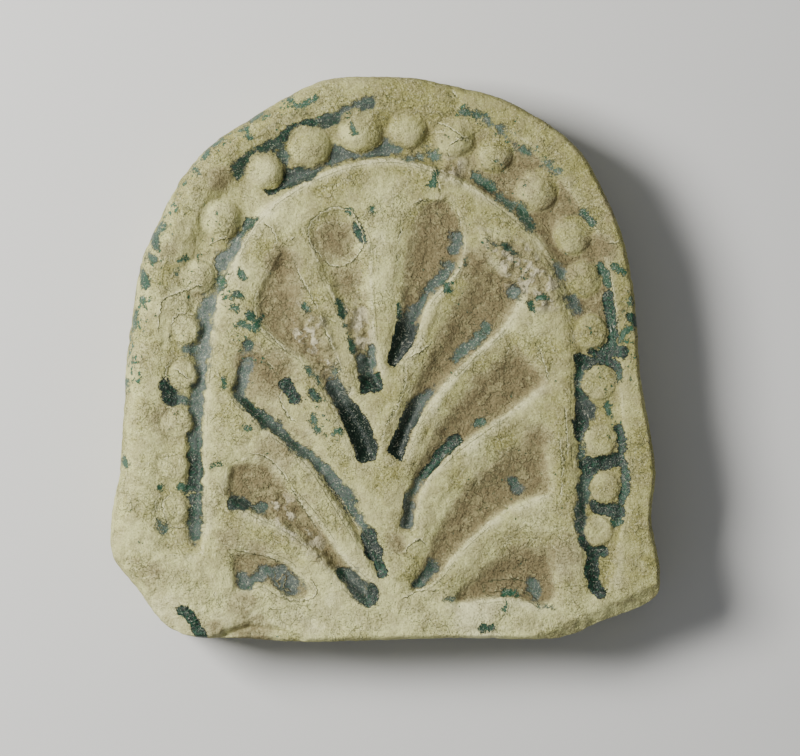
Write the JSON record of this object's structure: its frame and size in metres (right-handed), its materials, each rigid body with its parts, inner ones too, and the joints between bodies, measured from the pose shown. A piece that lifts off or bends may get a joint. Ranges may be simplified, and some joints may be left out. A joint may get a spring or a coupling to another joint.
{
  "type": "relief plaque",
  "caption": "Small arch-topped moulded pottery plaque with a palmette under an arch band, inside a beaded channel and a rolled rim; lies flat on its back.",
  "frame": {"origin": "middle of the flat back, on the surface that the plaque lies on", "axes": "+Z out of the relief, +Y towards the top of the arch, +X to the right seen from the front"},
  "size_m": [0.075, 0.077, 0.013],
  "materials": {
    "glazed_clay": "matte cream weathering crust over dark green lead glaze, glossy where the crust has flaked off"
  },
  "bodies": {
    "root": {"plaque": "glazed_clay"}
  },
  "joints": []
}
